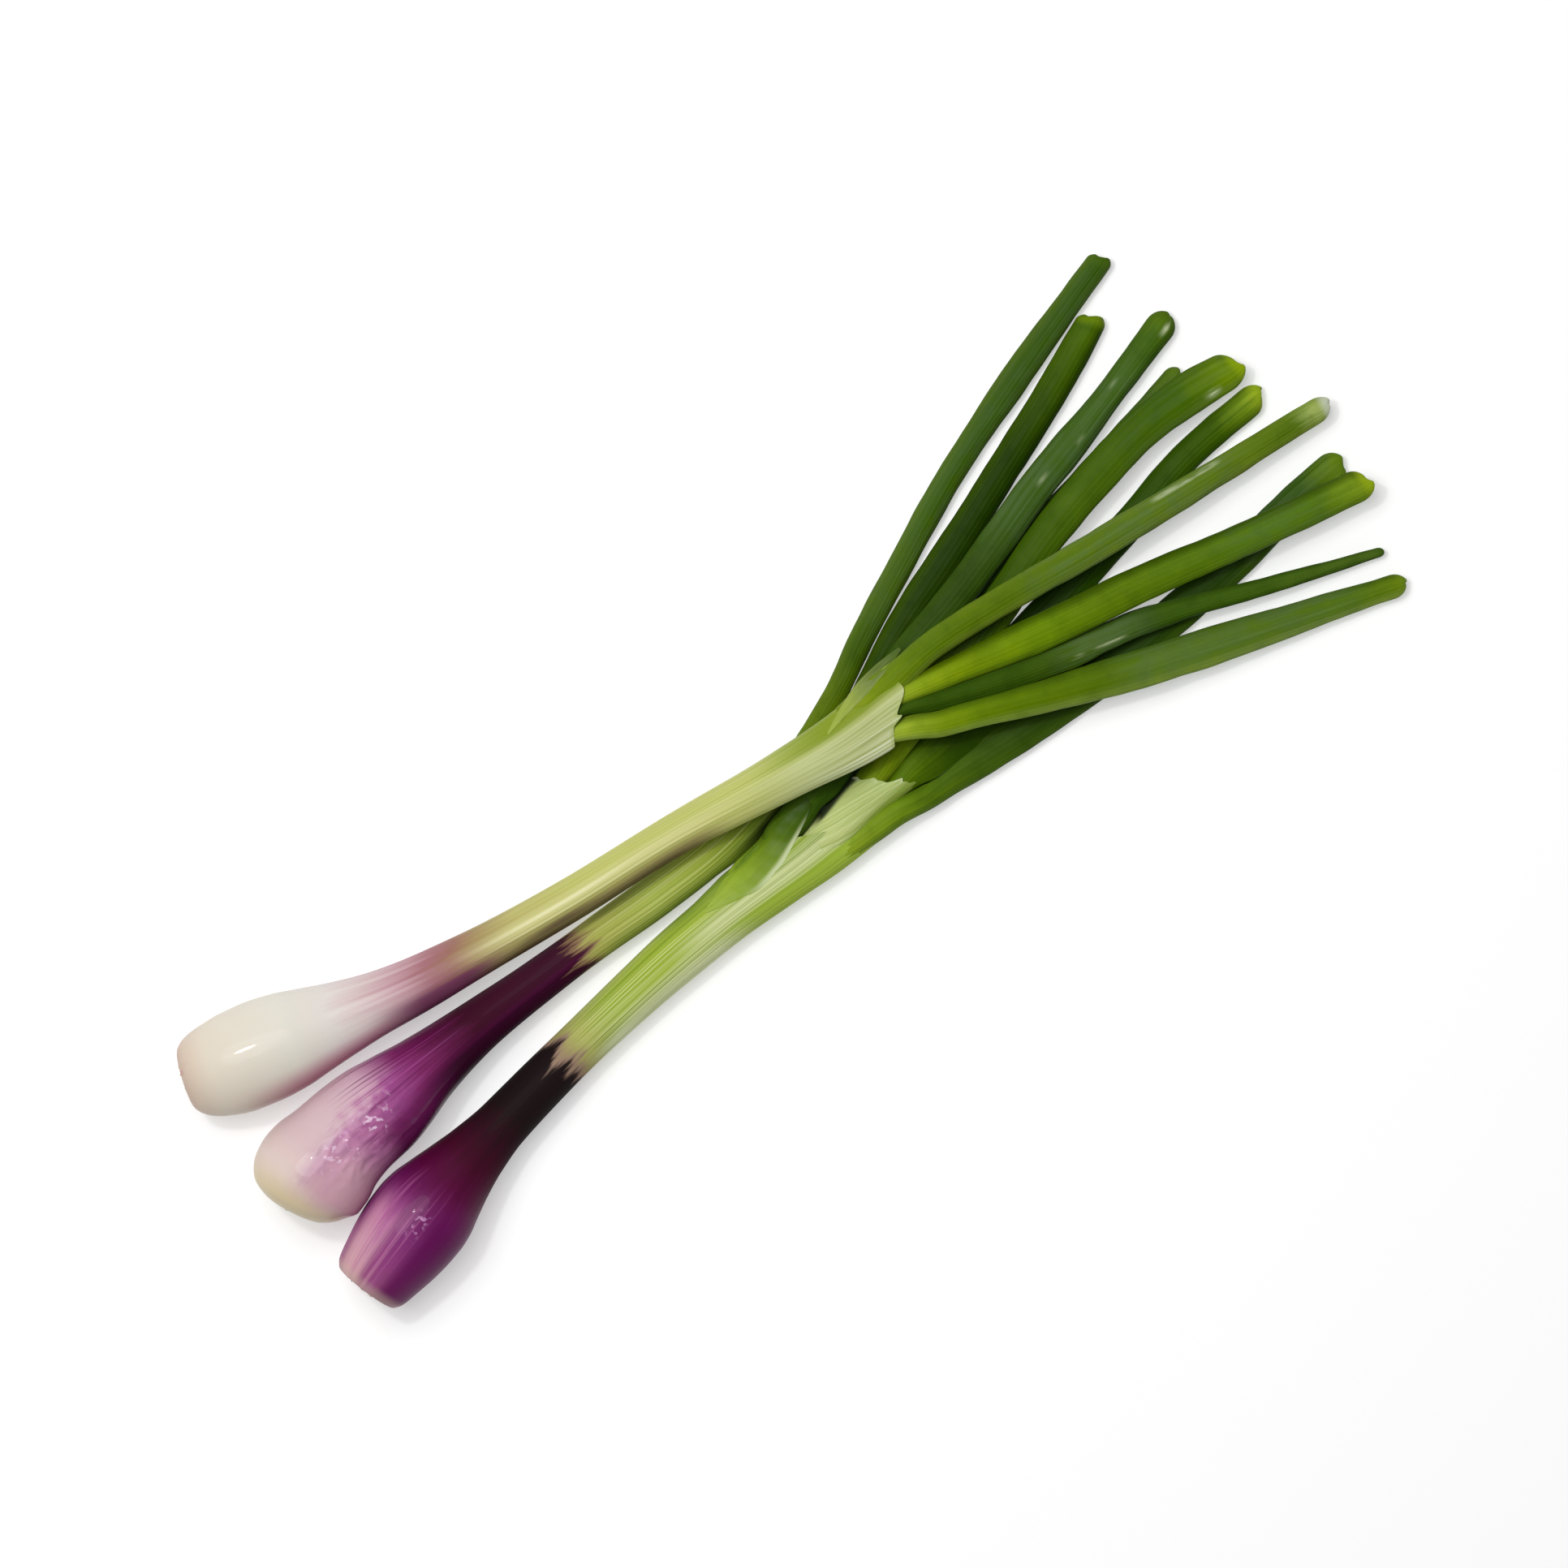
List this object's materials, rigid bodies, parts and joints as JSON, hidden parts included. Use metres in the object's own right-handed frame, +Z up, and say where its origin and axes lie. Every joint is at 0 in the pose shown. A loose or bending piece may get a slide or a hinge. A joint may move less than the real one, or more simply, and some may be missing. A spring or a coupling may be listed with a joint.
{
  "type": "spring onion bunch",
  "caption": "Spring onion bunch lying down: white to purple bulbs with trimmed roots, long pale shanks that cross, and hollow green leaves fanned out from thin sheath mouths.",
  "frame": {"origin": "on the surface that the bunch lies on, under the middle of its bounding box", "axes": "+X along the bunch from the roots to the leaf tips, +Y to the left of that, +Z up from the surface"},
  "size_m": [0.3268, 0.114, 0.0287],
  "materials": {
    "white_bulb_skin": "gloss",
    "pink_bulb_skin": "gloss",
    "purple_bulb_skin": "gloss",
    "root_plate": "matte",
    "sheath_membrane": "satin",
    "grass_green_leaf": "satin",
    "bright_green_leaf": "satin",
    "pale_green_leaf": "satin",
    "blue_green_leaf": "satin"
  },
  "bodies": {
    "root": {"left_onion_bulb_and_shank": "white_bulb_skin", "left_onion_root_plate": "root_plate", "left_onion_leaf_1": "pale_green_leaf", "left_onion_leaf_2": "bright_green_leaf", "left_onion_leaf_3": "blue_green_leaf", "left_onion_leaf_4": "bright_green_leaf", "middle_onion_bulb_and_shank": "pink_bulb_skin", "middle_onion_root_plate": "root_plate", "middle_onion_leaf_1": "grass_green_leaf", "middle_onion_leaf_2": "grass_green_leaf", "middle_onion_leaf_3": "grass_green_leaf", "right_onion_bulb_and_shank": "purple_bulb_skin", "right_onion_root_plate": "root_plate", "right_onion_inner_sheath": "sheath_membrane", "right_onion_leaf_1": "blue_green_leaf", "right_onion_leaf_2": "grass_green_leaf", "right_onion_leaf_3": "grass_green_leaf", "right_onion_leaf_4": "grass_green_leaf"}
  },
  "joints": []
}
